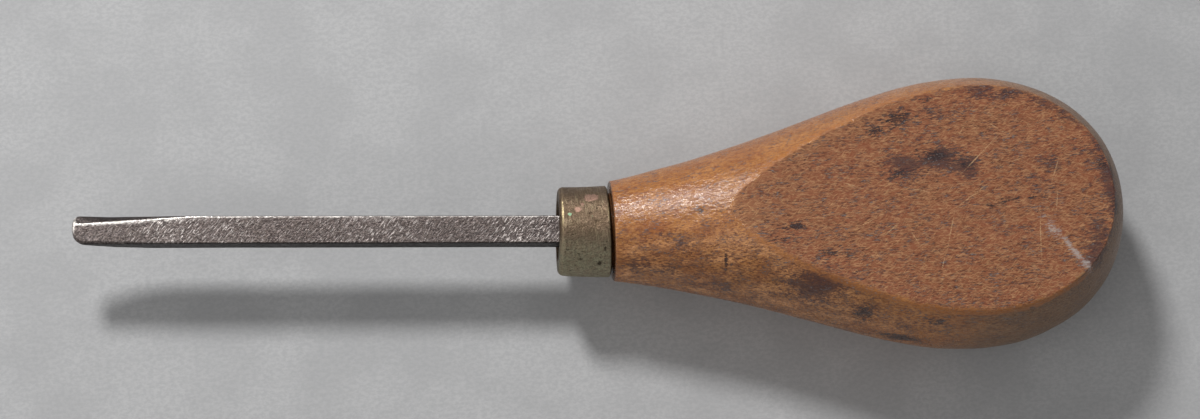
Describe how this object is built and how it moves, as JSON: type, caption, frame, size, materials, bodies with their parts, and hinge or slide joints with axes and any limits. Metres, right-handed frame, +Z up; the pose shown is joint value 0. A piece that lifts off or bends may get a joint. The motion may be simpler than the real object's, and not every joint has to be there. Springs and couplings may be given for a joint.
{
  "type": "flat-bladed hand screwdriver",
  "caption": "Hand screwdriver with a pear-shaped wooden handle planed flat on both sides, a brass ferrule and a straight steel bar blade with a rounded nose.",
  "frame": {"origin": "on the lower planed flat of the handle, straight under the widest section of the bulb", "axes": "+X along the handle's own axis towards the butt, +Z up, square to both flats; the blade points along -X and leans towards +Y"},
  "size_m": [0.1812, 0.0472, 0.0268],
  "materials": {
    "handle_wood": "old orange-brown varnish over a close-grained hardwood, worn matt on the flats",
    "ferrule_brass": "drawn brass tube, tarnished brown with green and copper-coloured spots",
    "blade_steel": "forged and filed tool steel, darkened with age, bright along its worn edges"
  },
  "bodies": {
    "root": {"handle": "handle_wood", "ferrule": "ferrule_brass", "blade": "blade_steel"}
  },
  "joints": []
}
